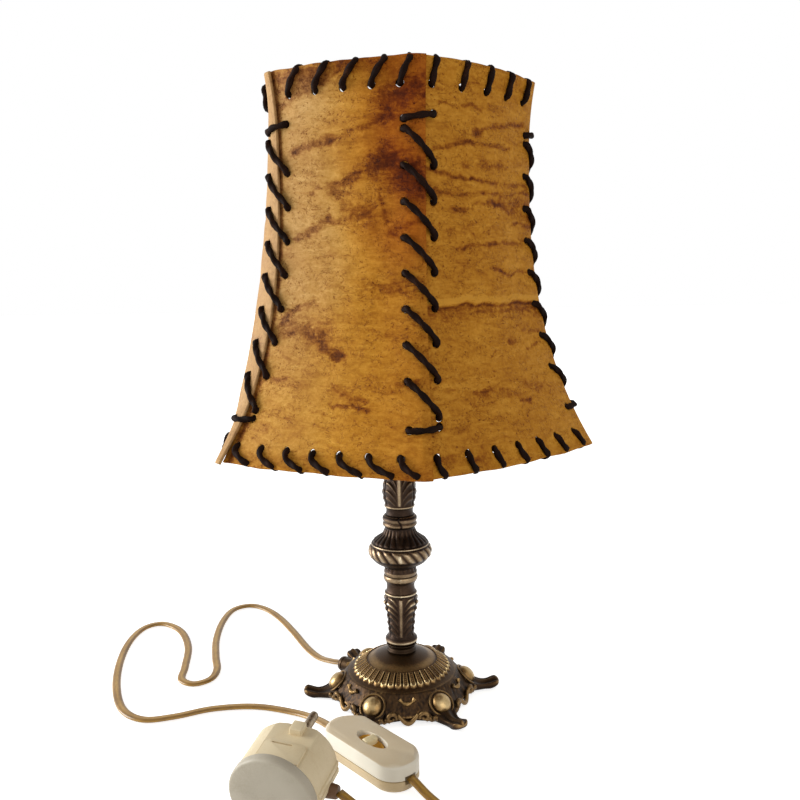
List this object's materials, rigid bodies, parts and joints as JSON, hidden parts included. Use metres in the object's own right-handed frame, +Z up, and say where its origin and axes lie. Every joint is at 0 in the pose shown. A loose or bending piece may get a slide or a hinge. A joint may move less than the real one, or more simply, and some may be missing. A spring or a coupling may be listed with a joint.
{
  "type": "table lamp",
  "caption": "Table lamp with a laced rawhide bell shade on an ornate antique bronze column and footed base, with a flat cord, an in-line rocker switch and a round plug.",
  "frame": {"origin": "on the table under the middle of the standing lamp's bounds; the column's axis is 6.64 mm to -X and 5.3 mm to +Y of it, because the shade has five uneven corners", "axes": "+Z up along the column, -Y towards the viewer of the picture, +X to its right"},
  "size_m": [0.3225, 0.3772, 0.3801],
  "materials": {
    "bronze": "antique, dark in the recesses and worn bright on the relief",
    "dark_bronze": "dark glossy patina",
    "steel": "plain",
    "holder_plastic": "satin ivory",
    "porcelain": "glazed ceramic look",
    "brass_sheet": "pressed sheet",
    "bulb_glass": "clear",
    "rawhide": "translucent, veined and mottled amber",
    "lace": "waxed two-ply twist",
    "cord": "translucent gold-brown",
    "ivory_plastic": "aged ivory, satin",
    "amber_plastic": "amber with a cream ridge",
    "tie": "dark band"
  },
  "bodies": {
    "lamp": {"base_casting": "bronze", "cord_bush": "holder_plastic", "spool_collar": "dark_bronze", "stem_lower": "bronze", "stem_ring": "bronze", "knop": "bronze", "stem_neck": "bronze", "stem_upper": "bronze", "rod_washer": "steel", "rod_nut": "steel", "threaded_rod": "steel", "holder_cap": "holder_plastic", "holder_body": "holder_plastic", "contact_block": "porcelain", "centre_contact": "brass_sheet", "screw_shell": "brass_sheet", "inner_lead": "cord", "switch_lower_shell": "ivory_plastic", "switch_upper_shell": "ivory_plastic", "rocker_pin": "steel", "switch_screw_1": "steel", "switch_screw_2": "steel", "plug_cover": "ivory_plastic", "plug_body": "ivory_plastic", "plug_pin_1": "steel", "plug_pin_2": "steel", "cord_to_switch": "cord", "cord_to_coil": "cord", "cord_coil": "cord", "cord_to_plug": "cord", "coil_tie": "tie"},
    "shade": {"fitter_ring": "steel", "fitter_arm_1": "steel", "fitter_arm_2": "steel", "fitter_arm_3": "steel", "fitter_arm_4": "steel", "fitter_arm_5": "steel", "shade_rib_1": "steel", "shade_rib_2": "steel", "shade_rib_3": "steel", "shade_rib_4": "steel", "shade_rib_5": "steel", "top_wire": "steel", "bottom_wire": "steel", "shade_panel_1": "rawhide", "shade_panel_2": "rawhide", "shade_panel_3": "rawhide", "shade_panel_4": "rawhide", "shade_panel_5": "rawhide", "top_lacing": "lace", "bottom_lacing": "lace", "seam_lacing_1": "lace", "seam_lacing_2": "lace", "seam_lacing_3": "lace", "seam_lacing_4": "lace", "seam_lacing_5": "lace"},
    "shade_ring": {"shade_ring": "holder_plastic"},
    "bulb": {"bulb_cap": "steel", "bulb_glass": "bulb_glass"},
    "rocker": {"switch_rocker": "amber_plastic"}
  },
  "joints": [
    {"name": "shade_turn", "type": "hinge", "parent": "lamp", "child": "shade", "pos_m": [-0.00664, 0.0053, 0.20405], "axis": [0, 0, 1], "continuous": true},
    {"name": "shade_ring_lift", "type": "slide", "parent": "lamp", "child": "shade_ring", "axis": [0, 0, 1], "range_m": [0, 0.012]},
    {"name": "bulb_lift", "type": "slide", "parent": "lamp", "child": "bulb", "axis": [0, 0, 1], "range_m": [0, 0.025]},
    {"name": "rocker_tilt", "type": "hinge", "parent": "lamp", "child": "rocker", "pos_m": [-0.02414, -0.0807, 0.0116], "axis": [0.749, 0.6626, 0], "range_deg": [-16, 0]}
  ]
}
